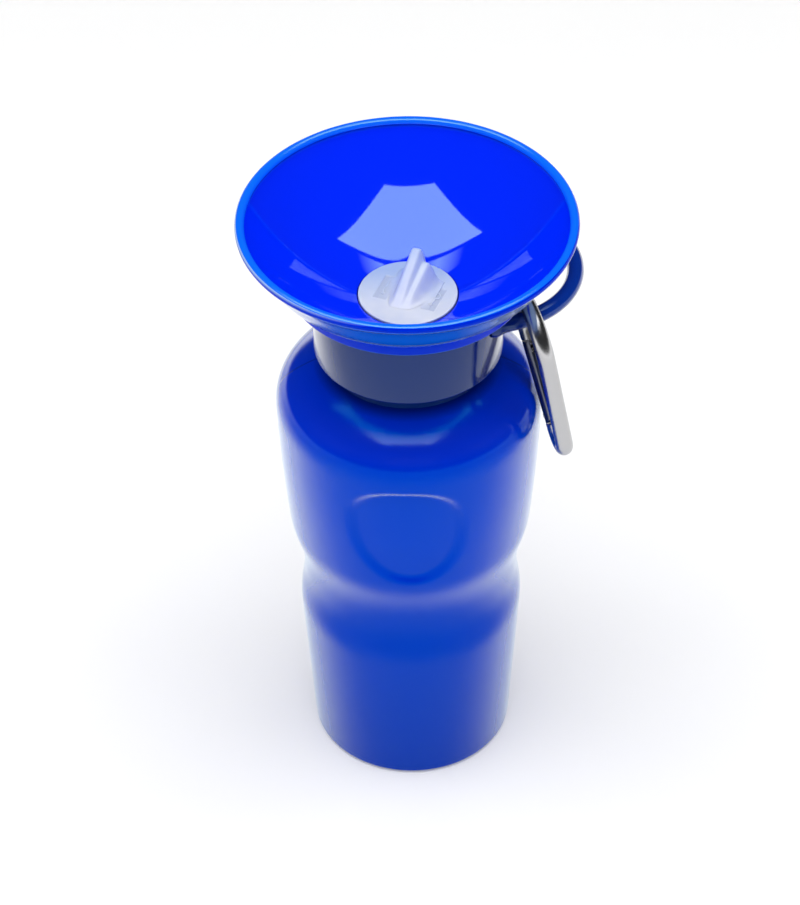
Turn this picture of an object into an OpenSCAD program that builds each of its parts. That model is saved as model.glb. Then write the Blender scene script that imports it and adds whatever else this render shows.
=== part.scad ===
// Dog travel water bottle: a squeeze bottle with a drinking bowl on its screw collar.
// Origin: centre of the foot, on the bottle's axis. +Z up, the thumb dimple faces -Y.

/* [Bottle] */
// Radius of the bottle just above its foot
foot_r = 35.4; // [33.4:0.2:37.4]
// Rounding of the foot's outer edge
foot_round = 1.5; // [1:0.25:3]
// How far the middle of the base is pushed up
base_rise = 3.5; // [2:0.5:5]
// Radius of the lower section at its fullest
lower_r = 39.1; // [37.9:0.1:40.5]
// Height of the lower section
lower_h = 61; // [50:1:75]
// Radius at the bottom of the waist
waist_r = 37.4; // [35.4:0.1:37.8]
// Height from the lower section's fullest ring up to the waist
waist_drop = 13; // [10:1:16]
// Radius where the upper section starts
grip_r = 42; // [40:0.1:43]
// Height from the waist up to the upper section
grip_rise = 27; // [22:1:34]
// Radius of the shoulder at its fullest
shoulder_r = 45.2; // [44:0.1:47]
// Height of the upper section's side
side_h = 49.5; // [46:0.5:60]
// How much the upper section's side swells between its ends
side_swell = 0.35; // [0:0.05:0.8]
// Radius of the shoulder's rounding
shoulder_round = 14; // [11:0.5:15]
// Slope of the shoulder below the neck, in degrees
shoulder_slope = 30; // [24:1:34]
// Wall of the bottle
wall = 1.2; // [0.9:0.1:1.6]

/* [Thumb dimple] */
// Width of the dimple
dimple_w = 38; // [30:1:42]
// Height of the dimple
dimple_h = 43; // [34:1:44]
// Depth of the dimple
dimple_depth = 1.6; // [0.8:0.1:2.2]
// Height of the dimple's bottom above the start of the upper section
dimple_lift = 1.5; // [0.5:0.5:2.5]

/* [Neck and screw thread] */
// Outside radius of the neck between its threads
neck_r = 27.6; // [27.2:0.1:28]
// Wall of the neck
neck_wall = 2.4; // [2:0.1:2.8]
// Height of the neck above the shoulder
neck_h = 22.4; // [22:0.1:25]
// Height that the neck's bead stands above the shoulder
bead_lift = 2.7; // [1.2:0.1:3]
// How far the neck's bead stands out
bead_out = 1.2; // [0.8:0.1:2]
// Pitch of the screw thread
thread_pitch = 5; // [4.5:0.1:5.5]
// Turns of thread on the neck and in the collar
thread_turns = 1.3; // [1:0.05:1.5]
// Depth of the screw thread
thread_depth = 1.6; // [1.2:0.1:1.7]
// Width of a thread ridge at its root
thread_w = 2.4; // [2:0.1:2.6]

/* [Collar and carry loop] */
// Wall of the collar
collar_wall = 1.8; // [1.5:0.1:2.2]
// Height of the collar's skirt below its deck
collar_skirt = 18.8; // [18:0.1:19.4]
// Thickness of the collar's deck
deck_t = 2.2; // [1.8:0.1:2.6]
// Radius of the loop's ring, to the middle of its rod
loop_r = 29.3; // [27:0.1:32]
// Radius of the loop's rod
loop_rod_r = 2.85; // [2.4:0.05:3.2]
// Distance from the bottle's axis to the middle of the loop's ring
loop_reach = 31.3; // [30:0.1:34]
// Direction of the loop, in degrees from +X towards +Y
loop_dir = 31; // [0:1:60]
// Depth of the loop's rod below the top of the deck
loop_drop = 2.6; // [2.2:0.1:4]

/* [Bowl] */
// Radius of the bowl over its rim
bowl_r = 56; // [54:0.5:62]
// Radius of the rolled rim's bead
rim_r = 1.6; // [1.2:0.1:2]
// Wall of the bowl
bowl_wall = 2.2; // [1.8:0.1:2.4]
// Slope of the bowl beside the dial, in degrees
dish_low = 24; // [20:1:27]
// Slope of the bowl at its rim, in degrees
dish_high = 54; // [50:1:58]
// Radius of the skirt's lower edge
skirt_r = 40; // [38.5:0.5:41]
// Height of the skirt's lower edge above the collar's deck
skirt_lift = 7; // [6:0.1:8]
// Thickness of the bowl's floor under the dial
floor_t = 2.2; // [1.8:0.1:2.4]
// Depth of the floor below the collar's deck
floor_drop = 2.6; // [2.4:0.1:2.8]

/* [Valve] */
// Radius of the dial
dial_r = 16.3; // [14.5:0.1:16.8]
// Thickness of the dial
dial_t = 1.95; // [1.5:0.05:2.2]
// Thickness of the soft washer under the dial
washer_t = 1.15; // [0.9:0.05:1.3]
// Height of the grip fin above the dial
fin_h = 12; // [9:0.5:14]
// Height of the lower ridge beside the fin's crest
ridge_h = 8.3; // [6:0.1:9]
// Direction of the fin, in degrees from +Y towards +X
fin_turn = 22; // [0:1:30]
// Radius of the dial's stem
stem_r = 3.3; // [3.1:0.05:3.4]
// Advance of the stem's thread in one turn
stem_lead = 8; // [7:0.5:9]
// Depth of the stem's thread
stem_thread = 1.3; // [1.1:0.1:1.4]
// Quarter turn that opens the valve, in degrees
open_turn = 90; // [60:5:90]
// Radius of a water port
port_r = 2.2; // [1.6:0.1:2.4]
// Radius of the circle that the ports lie on
port_ring = 10.8; // [10.4:0.1:11.2]
// Number of water ports
ports = 4; // [3:1:6]
// Depth of the valve chamber below the floor
chamber_h = 13; // [12:0.5:16]
// Wall of the valve chamber
chamber_wall = 1.8; // [1.5:0.1:2]
// Outside radius of the dip tube
tube_r = 4; // [3.8:0.1:4.4]
// Wall of the dip tube
tube_wall = 1; // [0.8:0.1:1.1]
// Gap between the dip tube and the bottle's floor
tube_gap = 3; // [2:0.5:8]

/* [Carabiner] */
// Length of the carabiner over all
clip_l = 61.5; // [58:0.5:66]
// Radius of the carabiner's rod
rod_r = 2.9; // [2.7:0.05:2.95]
// Radius of its wide end, to the middle of the rod
wide_r = 13.5; // [12:0.1:14]
// Radius of its narrow end, to the middle of the rod
narrow_r = 5.2; // [4.8:0.1:7]
// Place where it hangs on the loop, in degrees from +X
hang_dir = -63.5; // [-70:0.5:-55]
// Direction that its flat side faces, in degrees from +X towards +Y
face_dir = 15; // [8:1:20]
// How far its bottom leans away from the bottle, in degrees
lean = 10; // [9:0.5:14]
// How far it has swung in its own plane, in degrees
swing = -15; // [-18:1:0]
// Radius of the gate's pivot pin
pivot_r = 0.8; // [0.6:0.05:0.9]
// Radius of the gate's latch pin
latch_r = 0.6; // [0.5:0.05:0.7]
// How far the gate opens, in degrees
gate_open = 25; // [15:1:28]

/* [Clearances] */
// Gap between a seal and its seat
seal_gap = 0.05; // [0.02:0.01:0.1]
// Gap between parts that slide or snap together
slide_gap = 0.2; // [0.15:0.05:0.3]
// Radial gap round a turning pin
pin_gap = 0.05; // [0.03:0.01:0.08]
// Gap between the collar's parts and the neck
neck_gap = 0.65; // [0.5:0.05:0.8]
// Gap between the collar's rim and the bowl's underside
rim_gap = 0.6; // [0.4:0.1:1]

/* [Hidden] */
$fn = 96;

// Heights up the bottle
waist_z = lower_h + waist_drop;
grip_z = waist_z + grip_rise;
side_z = grip_z + side_h;
round_end = 90 - shoulder_slope;
round_in = shoulder_r - shoulder_round;
cone_r = round_in + shoulder_round * cos(round_end);
cone_z = side_z + shoulder_round * sin(round_end);
neck_z = cone_z + (cone_r - neck_r) * tan(shoulder_slope);
lip_z = neck_z + neck_h;
bore_r = neck_r - neck_wall;

// The base: a foot ring round a pushed-up middle
foot_land = 3;
foot_in = foot_r - foot_round - foot_land;
rise_r = foot_in - 2 * base_rise;
floor_z = base_rise + wall;

// The collar, up from the gasket on the neck's lip
gasket_t = 1.4;
deck_z = lip_z + gasket_t + 2 * seal_gap;
deck_top = deck_z + deck_t;
collar_in = neck_r + thread_depth + neck_gap;
collar_r = collar_in + collar_wall;
rim_wall = 2.3;
rim_in = collar_r - rim_wall;
loop_z = deck_top - loop_drop;
loop_half = acos((pow(rim_in, 2) - pow(loop_reach, 2) - pow(loop_r, 2))
    / (2 * loop_reach * loop_r));
loop_x = loop_reach * cos(loop_dir);
loop_y = loop_reach * sin(loop_dir);

// Screw threads: the collar's ridge lies half a pitch under the neck's
thread_drop = 12.1;
thread_low = lip_z - thread_drop;
steps_per_turn = 36;
thread_sink = 0.4;

// The bowl's dish is an arc of slope dish_low to dish_high
well_gap = 0.6;
well_r = dial_r + well_gap;
well_wall = 2;
well_out = well_r + well_wall;
floor_low = deck_z - floor_drop;
floor_top = floor_low + floor_t;
dish_z = floor_top + washer_t + 2 * seal_gap + dial_t - 0.6;
lip_in = bowl_r - rim_r - 1.1;
dish_round = (lip_in - well_r) / (sin(dish_high) - sin(dish_low));
dish_x = well_r - dish_round * sin(dish_low);
dish_mid = dish_z + dish_round * cos(dish_low);
bead_r = bowl_r - rim_r;
bead_z = dish_mid - dish_round * cos(dish_high) + 0.9;
skirt_z = deck_top + skirt_lift;
seat_in = rim_in - slide_gap - 2.4;
rim_top = dish_under(rim_in) - rim_gap;

// The valve, down from the floor
washer_z = floor_top + seal_gap;
dial_z = washer_z + washer_t + seal_gap;
dial_top = dial_z + dial_t;
// The grip's two ridges: where each starts and ends, its tip's radius and its foot's
toe_r = 1.6;
toe_y = 8.7 - dial_r;
fin_back = [-0.4, dial_r - 7.9];
fin_toe = [-1.1, toe_y];
fin_tip = 2;
fin_foot = 4.4;
ridge_back = [3.9, dial_r - 9.8];
ridge_toe = [2, toe_y];
ridge_tip = 1.7;
ridge_foot = 3.2;
panel_in = 5.6;
panel_w = 4.6;
panel_l = 12;
panel_depth = 0.4;
lift = stem_lead * open_turn / 360;
boss_bore = stem_r + stem_thread + 0.4;
boss_r = boss_bore + 2.2;
boss_low = floor_low - 7;
clip_t = 1.2;
clip_top = boss_low - lift - 0.3;
clip_low = clip_top - clip_t;
stem_end = clip_low - 0.6;
groove_r = stem_r - 0.7;
stem_starts = 2;
stem_turns = 0.6;
stem_low = boss_low + 0.5;
spigot_low = floor_low - 4.4;
chamber_in = well_out + slide_gap;
chamber_out = chamber_in + chamber_wall;
chamber_low = floor_low - chamber_h;
seal_t = 1.1;
flange_t = 1.6;
flange_top = deck_z - seal_t - 2 * seal_gap;
flange_r = bore_r - 0.6;
deck_hole_r = mix(chamber_out, flange_r, 0.4);
snap_out = 0.4;
snap_z = floor_low - 2.8;
nipple_l = 12;
nipple_r = tube_r - tube_wall - seal_gap;
tube_top = chamber_low - slide_gap;
tube_low = floor_z + tube_gap;

// The carabiner's own frame: origin in the loop's rod, Z along it, X square to its flat side
hang = [loop_x + loop_r * cos(hang_dir), loop_y + loop_r * sin(hang_dir), loop_z];
rest_gap = 0.3;
wide_z = loop_rod_r + rest_gap + rod_r - wide_r;
mid_l = clip_l - 2 * rod_r - wide_r - narrow_r;
narrow_z = wide_z - mid_l;
taper = asin((wide_r - narrow_r) / mid_l);
run_l = mid_l * cos(taper);
leg_lap = 0.15;
leg_over = 0.06;
pivot_up = 5.5;
gate_l = run_l - pivot_up - 3.5;
latch_z = gate_l - 2;
hook_low = latch_z - 1.8;
hook_t = 1.4;
hook_w = 3.8;
nose_slot = hook_t + 0.5;
tang_w = 2;
tang_top = 2;
gate_r = rod_r - 0.1;
gate_end = rod_r - 0.2;
bore_low = tang_top + 1;
bore_top = gate_l - 8;
gate_bore = 1.3;
plunger_r = 1.2;
plunger_low = tang_top + seal_gap;
plunger_l = 4.5;
spring_low = plunger_low + plunger_l + seal_gap;
spring_wire = 0.2;
spring_r = 0.85;
spring_turns = 9;

function mix(a, b, t) = a + (b - a) * t;
function ease(t) = t * t * (3 - 2 * t);
function unit(v) = v / norm(v);

// Height of the bowl's underside at a radius
function dish_under(r) = dish_mid - sqrt(pow(dish_round + bowl_wall, 2) - pow(r - dish_x, 2));

// Outline of the bottle's side from the foot to the neck, as [radius, height]
function foot_arc() = [for (a = [-90:30:0])
    [foot_r - foot_round + foot_round * cos(a), foot_round + foot_round * sin(a)]];
function lower_side() = [for (i = [1:4])
    [mix(foot_r, lower_r, i / 4), mix(foot_round, lower_h, i / 4)]];
function waist_curve() = [for (i = [1:5])
    [mix(lower_r, waist_r, ease(i / 5)), lower_h + waist_drop * i / 5]];
function grip_curve() = [for (i = [1:8])
    [mix(waist_r, grip_r, ease(pow(i / 8, 1.5))), waist_z + grip_rise * i / 8]];
function upper_side() = [for (i = [1:5])
    [mix(grip_r, shoulder_r, i / 5) + side_swell * sin(36 * i), grip_z + side_h * i / 5]];
function shoulder_arc() = [for (i = [1:6]) let (a = round_end * i / 6)
    [round_in + shoulder_round * cos(a), side_z + shoulder_round * sin(a)]];
function side_outline() = concat(foot_arc(), lower_side(), waist_curve(), grip_curve(),
    upper_side(), shoulder_arc(), [[neck_r, neck_z]]);

// An outline moved square to itself, towards the axis
function inset(p, t) = [for (i = [0:len(p) - 1])
    let (d = unit(p[min(i + 1, len(p) - 1)] - p[max(i - 1, 0)])) p[i] + t * [-d.y, d.x]];

// The solid inside the side outline set in by t, cut off below a height
module turned_body(t, low) {
    line = [for (q = inset(side_outline(), t)) if (q.y > low) q];
    first = line[0];
    last = line[len(line) - 1];
    rotate_extrude()
        polygon(concat([[0, low], [first.x, low]], line, [[0, last.y]]));
}

// The dimple's outline: a rounded shield, widest above its middle
module dimple_block(grow) {
    half_w = dimple_w / 2 + grow;
    up = 0.4 * dimple_h + grow;
    down = 0.6 * dimple_h + grow;
    mid_z = grip_z + dimple_lift + 0.6 * dimple_h;
    for (s = [-1, 1])
        translate([0, s * shoulder_r, mid_z])
            rotate([90, 0, 0])
                linear_extrude(height = shoulder_r, center = true)
                    polygon([for (a = [0:15:345])
                        [half_w * cos(a), (sin(a) > 0 ? up : down) * sin(a)]]);
}

// A ridge of four-sided section along a helix, tapered at its ends
module helix_ridge(root_r, crest_r, width, lead, turns, z0, start) {
    n = ceil(turns * steps_per_turn);
    crest_w = width / 2;
    rings = [for (i = [0:n]) let (
        a = 360 * turns * i / n,
        z = z0 + lead * a / 360,
        f = min(1, 0.15 + min(i, n - i) / 4),
        c = mix(root_r, crest_r, f))
        [[root_r, z - width / 2, a], [c, z - crest_w / 2, a],
         [c, z + crest_w / 2, a], [root_r, z + width / 2, a]]];
    points = [for (ring = rings) for (q = ring)
        [q[0] * cos(q[2] + start), q[0] * sin(q[2] + start), q[1]]];
    sides = [for (i = [0:n - 1]) for (k = [0:3]) let (
        p = 4 * i + k, q = 4 * i + (k + 1) % 4)
        each [[p, q, q + 4], [p, q + 4, p + 4]]];
    caps = [[0, 3, 2], [0, 2, 1], [4 * n, 4 * n + 1, 4 * n + 2], [4 * n, 4 * n + 2, 4 * n + 3]];
    faces = concat(sides, caps);
    out = crest_r > root_r;
    polyhedron(points, out ? faces : [for (f = faces) [f[2], f[1], f[0]]]);
}

module ring(r_in, r_out, z, h) {
    translate([0, 0, z])
        difference() {
            cylinder(r = r_out, h = h);
            translate([0, 0, -1])
                cylinder(r = r_in, h = h + 2);
        }
}

module bottle() {
    color("royalblue")
        difference() {
            union() {
                difference() {
                    turned_body(0, 0);
                    dimple_block(0);
                }
                turned_body(dimple_depth, 0);
                cylinder(r = neck_r, h = lip_z);
                translate([0, 0, neck_z + bead_lift])
                    cylinder(r = neck_r + bead_out, h = 1.6);
            }
            difference() {
                turned_body(wall, floor_z);
                dimple_block(wall);
            }
            turned_body(wall + dimple_depth, floor_z);
            translate([0, 0, neck_z - wall])
                cylinder(r = bore_r, h = neck_h + 2 * wall);
            translate([0, 0, -1])
                cylinder(r1 = foot_in + 2, r2 = rise_r, h = base_rise + 1);
        }
    color("royalblue")
        helix_ridge(neck_r - thread_sink, neck_r + thread_depth, thread_w,
            thread_pitch, thread_turns, thread_low, 0);
}

module loop() {
    translate([loop_x, loop_y, loop_z])
        rotate([0, 0, loop_dir - loop_half])
            rotate_extrude(angle = 2 * loop_half)
                translate([loop_r, 0])
                    circle(r = loop_rod_r);
}

module collar() {
    low = deck_z - collar_skirt;
    color("darkslateblue")
        difference() {
            union() {
                translate([0, 0, low])
                    cylinder(r = collar_r, h = rim_top - low);
                loop();
            }
            translate([0, 0, low - 1])
                cylinder(r = collar_in, h = collar_skirt + 1);
            translate([0, 0, deck_z - 1])
                cylinder(r = deck_hole_r, h = deck_t + 2);
            translate([0, 0, deck_top])
                cylinder(r = rim_in, h = rim_top);
            translate([0, 0, rim_top])
                cylinder(r = collar_r, h = 2 * loop_rod_r);
        }
    color("darkslateblue")
        helix_ridge(collar_in + thread_sink, collar_in - thread_depth, thread_w,
            thread_pitch, thread_turns, thread_low - thread_pitch / 2, 0);
}

// Point of the dish's arc at a slope, set out by t below its face
function dish(slope, t) = [dish_x + (dish_round + t) * sin(slope),
    dish_mid - (dish_round + t) * cos(slope)];

module bowl_section() {
    steps = 10;
    inner = [for (i = [0:steps]) dish(mix(dish_low, dish_high, i / steps), 0)];
    under = [for (i = [steps:-1:0]) dish(mix(dish_low, dish_high, i / steps), bowl_wall)];
    polygon(concat(inner, under, [[well_r, floor_low], [well_r - 0.01, floor_low]]));
    translate([bead_r, bead_z])
        circle(r = rim_r);
    // skirt, hanging from the dish's underside
    skirt_in = skirt_r - bowl_wall;
    polygon([[skirt_r, skirt_z], [skirt_in, skirt_z], [skirt_in, dish_under(skirt_in) + 0.5],
        [skirt_r, dish_under(skirt_r) + 0.5]]);
    // well, floor, spigot and seat
    translate([well_r, spigot_low])
        square([well_wall, dish_z - spigot_low]);
    translate([boss_bore, floor_low])
        square([well_out - boss_bore, floor_t]);
    translate([boss_bore, boss_low])
        square([boss_r - boss_bore, floor_top - boss_low]);
    polygon([[well_out - 0.5, snap_z - 0.8], [well_out + snap_out, snap_z],
        [well_out - 0.5, snap_z + 0.8]]);
    translate([seat_in, deck_top])
        square([rim_in - slide_gap - seat_in, dish_under(seat_in) - deck_top + 1]);
}

module bowl() {
    color("blue")
        difference() {
            rotate_extrude()
                bowl_section();
            for (i = [0:ports - 1])
                rotate([0, 0, 360 * (i + 0.5) / ports])
                    translate([port_ring, 0, floor_low - 1])
                        cylinder(r = port_r, h = floor_t + 2, $fn = 32);
        }
    color("blue")
        for (i = [0:stem_starts - 1])
            helix_ridge(boss_bore + thread_sink, stem_r + 0.45, 1.7, stem_lead, stem_turns,
                stem_low + stem_lead / (2 * stem_starts), 360 * i / stem_starts);
}

// One ridge of the grip: highest at its back end, running down to a toe in front
module fin_ridge(back, front, top, tip, spread) {
    low = dial_top - 0.4;
    hull() {
        translate([back.x, back.y, dial_top + top - tip])
            sphere(r = tip, $fn = 24);
        translate([back.x, back.y + tip - spread, low])
            cylinder(r = spread, h = 0.5, $fn = 32);
        translate([front.x, front.y, low])
            cylinder(r = toe_r, h = 1, $fn = 32);
    }
}

module fin() {
    rotate([0, 0, -fin_turn]) {
        fin_ridge(fin_back, fin_toe, fin_h, fin_tip, fin_foot);
        fin_ridge(ridge_back, ridge_toe, ridge_h, ridge_tip, ridge_foot);
    }
}

module dial() {
    color("white")
        difference() {
            union() {
                translate([0, 0, dial_z])
                    cylinder(r = dial_r, h = dial_t);
                fin();
            }
            // shallow panels beside the fin
            rotate([0, 0, -fin_turn])
                for (x = [-panel_in - panel_w, panel_in + 1.4])
                    translate([x, -panel_l / 2, dial_top - panel_depth])
                        cube([panel_w, panel_l, 2 * panel_depth]);
        }
    color("white")
        rotate_extrude()
            polygon([[0, stem_end], [stem_r, stem_end], [stem_r, clip_low - seal_gap],
                [groove_r, clip_low - seal_gap], [groove_r, clip_top + seal_gap],
                [stem_r, clip_top + seal_gap], [stem_r, dial_z + 0.5], [0, dial_z + 0.5]]);
    color("white")
        for (i = [0:stem_starts - 1])
            helix_ridge(stem_r - thread_sink, stem_r + stem_thread, 1.7, stem_lead,
                stem_turns, stem_low, 360 * i / stem_starts);
}

module bottle_gasket() {
    color("gray")
        ring(bore_r, neck_r, lip_z + seal_gap, gasket_t);
}

module valve_chamber() {
    color("gainsboro")
        rotate_extrude()
            polygon([[nipple_r - 1, chamber_low - nipple_l], [nipple_r, chamber_low - nipple_l],
                [nipple_r, chamber_low], [chamber_out, chamber_low],
                [chamber_out, flange_top - flange_t], [flange_r, flange_top - flange_t],
                [flange_r, flange_top], [chamber_in, flange_top],
                [chamber_in, snap_z + 1], [chamber_in + snap_out, snap_z],
                [chamber_in, snap_z - 1], [chamber_in, chamber_low + chamber_wall],
                [nipple_r - 1, chamber_low + chamber_wall]]);
}

module chamber_seal() {
    color("gray")
        ring(deck_hole_r + slide_gap, flange_r, flange_top + seal_gap, seal_t);
}

module dial_seal() {
    color("gray")
        ring(boss_bore + 1, dial_r - 0.7, washer_z, washer_t);
}

module stem_clip() {
    color("silver")
        difference() {
            ring(groove_r + seal_gap, stem_r + 2.3, clip_low, clip_t);
            translate([0, -groove_r, clip_low - 1])
                cube([stem_r + 4, 2 * groove_r, clip_t + 2]);
        }
}

module dip_tube() {
    color("whitesmoke")
        difference() {
            ring(tube_r - tube_wall, tube_r, tube_low, tube_top - tube_low);
            translate([0, 0, tube_low])
                rotate([30, 0, 0])
                    translate([-2 * tube_r, -4 * tube_r, -4 * tube_r])
                        cube([4 * tube_r, 8 * tube_r, 4 * tube_r]);
        }
}

// Places what follows in the carabiner's frame
module on_carabiner() {
    translate(hang)
        rotate([swing, -lean, face_dir])
            children();
}

// Places what follows at the gate's pivot, Z along the gate
module on_gate() {
    on_carabiner()
        translate([0, narrow_r * cos(taper), narrow_z - narrow_r * sin(taper)])
            rotate([-taper, 0, 0])
                translate([0, 0, pivot_up])
                    children();
}

// An arc of rod in the carabiner's plane, from an angle over a sweep, 0 along +Y
module rod_arc(r, z, from, sweep) {
    translate([0, 0, z])
        rotate([90, 0, 90])
            rotate([0, 0, from])
                rotate_extrude(angle = sweep)
                    translate([r, 0])
                        circle(r = rod_r, $fn = 32);
}

// A straight length of rod along Z, lapped into what it meets
module leg(from, to) {
    translate([0, 0, from - leg_lap])
        cylinder(r = rod_r + leg_over, h = to - from + 2 * leg_lap, $fn = 32);
}

module carabiner_body() {
    color("silver")
        union() {
            on_carabiner() {
                rod_arc(wide_r, wide_z, -taper, 180 + 2 * taper);
                rod_arc(narrow_r, narrow_z, 180 + taper, 180 - 2 * taper);
                translate([0, -narrow_r * cos(taper), narrow_z - narrow_r * sin(taper)])
                    rotate([taper, 0, 0])
                        leg(0, run_l);
            }
            on_gate() {
                // stub and tang at the pivot
                leg(-pivot_up, -gate_end - slide_gap - leg_lap);
                tang();
                // stub and hook at the nose
                leg(gate_l + slide_gap + leg_lap, run_l - pivot_up);
                hook();
            }
        }
}

module tang() {
    half = rod_r - 0.4;
    difference() {
        translate([-tang_w / 2, -half, -gate_end - 0.5])
            cube([tang_w, 2 * half, gate_end + 0.5 + tang_top]);
        rotate([0, 90, 0])
            cylinder(r = pivot_r + pin_gap / 2, h = 2 * tang_w, center = true, $fn = 32);
    }
}

module hook() {
    notch = latch_r + 0.15;
    difference() {
        translate([-hook_t / 2, -hook_w / 2, hook_low])
            cube([hook_t, hook_w, gate_l + 0.5 - hook_low]);
        translate([0, 0, latch_z])
            rotate([0, 90, 0])
                cylinder(r = notch, h = 4, center = true, $fn = 32);
        translate([-2, -3, latch_z - notch])
            cube([4, 3, 2 * notch]);
    }
}

module carabiner_gate() {
    slot = tang_w + 0.4;
    color("slategray")
        on_gate()
            difference() {
                union() {
                    cylinder(r = gate_r, h = gate_l, $fn = 32);
                    gate_heel();
                }
                translate([-slot / 2, -rod_r - 1, -gate_end - 1])
                    cube([slot, 2 * rod_r + 2, gate_end + 1 + bore_low]);
                translate([0, 0, bore_low - 1])
                    cylinder(r = gate_bore, h = bore_top - bore_low + 1, $fn = 32);
                rotate([0, 90, 0])
                    cylinder(r = pivot_r + pin_gap, h = 4 * rod_r, center = true, $fn = 32);
                translate([-nose_slot / 2, -rod_r - 1, hook_low - 0.5])
                    cube([nose_slot, 2 * rod_r + 2, gate_l]);
                translate([0, 0, latch_z])
                    rotate([0, 90, 0])
                        cylinder(r = latch_r + pin_gap / 2, h = 4 * rod_r, center = true,
                            $fn = 32);
            }
}

// The gate's end below its pivot, rounded about the pivot
module gate_heel() {
    intersection() {
        translate([0, 0, -2 * gate_end])
            cylinder(r = gate_r, h = 2 * gate_end + 1, $fn = 32);
        rotate([0, 90, 0])
            cylinder(r = gate_end, h = 4 * rod_r, center = true, $fn = 32);
    }
}

module gate_pivot_pin() {
    color("dimgray")
        on_gate()
            rotate([0, 90, 0])
                cylinder(r = pivot_r, h = 2 * rod_r, center = true, $fn = 32);
}

module latch_pin() {
    color("dimgray")
        on_gate()
            translate([0, 0, latch_z])
                rotate([0, 90, 0])
                    cylinder(r = latch_r, h = 2 * rod_r - 0.4, center = true, $fn = 32);
}

module gate_plunger() {
    color("dimgray")
        on_gate()
            translate([0, 0, plunger_low])
                cylinder(r = plunger_r, h = plunger_l, $fn = 32);
}

// A closed tube along a helix, eight rings a turn, six sides
module gate_spring() {
    n = 8 * spring_turns;
    top = bore_top - seal_gap - spring_wire;
    low = spring_low + spring_wire;
    points = [for (i = [0:n]) for (k = [0:5]) let (
        a = 45 * i,
        r = spring_r + spring_wire * cos(60 * k),
        z = mix(low, top, i / n) + spring_wire * sin(60 * k))
        [r * cos(a), r * sin(a), z]];
    sides = [for (i = [0:n - 1]) for (k = [0:5]) let (
        p = 6 * i + k, q = 6 * i + (k + 1) % 6)
        each [[p, q + 6, q], [p, p + 6, q + 6]]];
    caps = [[0, 1, 2, 3, 4, 5], [for (k = [5:-1:0]) 6 * n + k]];
    echo(str("spring coil gap ", (top - low) / spring_turns - 2 * spring_wire));
    color("dimgray")
        on_gate()
            polyhedron(points, concat(sides, caps));
}

bottle();
collar();
bowl();
dial();
bottle_gasket();
valve_chamber();
chamber_seal();
dial_seal();
stem_clip();
dip_tube();
carabiner_body();
carabiner_gate();
gate_pivot_pin();
latch_pin();
gate_plunger();
gate_spring();
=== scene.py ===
import math

import bmesh
import bpy
import numpy as np
from mathutils import Matrix, Vector


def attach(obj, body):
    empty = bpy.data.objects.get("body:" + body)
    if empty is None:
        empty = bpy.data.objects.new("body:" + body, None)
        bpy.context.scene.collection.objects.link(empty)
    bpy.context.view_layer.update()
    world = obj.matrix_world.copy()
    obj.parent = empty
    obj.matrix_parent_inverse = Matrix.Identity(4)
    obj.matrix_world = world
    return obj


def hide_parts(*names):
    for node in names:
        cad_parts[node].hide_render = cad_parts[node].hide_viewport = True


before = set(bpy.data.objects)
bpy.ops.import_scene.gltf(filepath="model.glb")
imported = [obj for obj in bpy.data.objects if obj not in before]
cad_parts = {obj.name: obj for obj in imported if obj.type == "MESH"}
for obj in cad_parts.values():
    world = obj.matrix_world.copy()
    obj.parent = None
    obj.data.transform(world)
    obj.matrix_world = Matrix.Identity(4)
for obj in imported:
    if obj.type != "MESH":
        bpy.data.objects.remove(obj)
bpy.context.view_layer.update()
print("frame loaded:", len(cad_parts), "nodes")

mm = 0.001  # shapes are worked out in millimetres and put into the meshes in metres
tau = 2 * math.pi


def between(a, b, t):
    # the share t of the way from a to b
    return a + (b - a) * t


def eased(t):
    # from 0 to 1 with level ends: 3 t squared - 2 t cubed
    return t * t * (3 - 2 * t)


def gridFaces(rows, cols, closeRows=False, closeCols=True):
    # quads between neighbouring rows and columns; a closed side joins its last line to its first
    r = np.arange(rows if closeRows else rows - 1)[:, None]
    c = np.arange(cols if closeCols else cols - 1)[None, :]
    r2, c2 = (r + 1) % rows, (c + 1) % cols
    return np.stack([r * cols + c, r * cols + c2, r2 * cols + c2, r2 * cols + c], -1).reshape(-1, 4)


def outward(points, faces):
    # a closed shell's volume is the sum of its triangles' triple products; negative means inside out
    a, b, c, d = (points[faces[:, k]] for k in range(4))
    volume = np.einsum("ij,ij->i", a, np.cross(b, c) + np.cross(c, d)).sum()
    return faces if volume > 0 else faces[:, ::-1]


def turned(profile, steps):
    # a closed section (radius, height) turned about Z: (r cos a, r sin a, z)
    a = np.arange(steps) * tau / steps
    r, z = profile[:, :1], profile[:, 1:]
    points = np.stack([r * np.cos(a), r * np.sin(a), z + 0 * a], -1).reshape(-1, 3)
    return points, outward(points, gridFaces(len(profile), steps, closeRows=True))


def arc(cx, cy, r, fromDeg, toDeg, count):
    # points on a circle between two angles
    a = np.radians(np.linspace(fromDeg, toDeg, count))
    return np.stack([cx + r * np.cos(a), cy + r * np.sin(a)], 1)


def evenly(line, gap):
    # the same line with its points about one gap apart, measured along it
    s = np.r_[0, np.cumsum(np.hypot(*np.diff(line, axis=0).T))]
    t = np.linspace(0, s[-1], max(2, int(s[-1] / gap) + 1))
    return np.stack([np.interp(t, s, line[:, k]) for k in range(line.shape[1])], 1)


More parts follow.
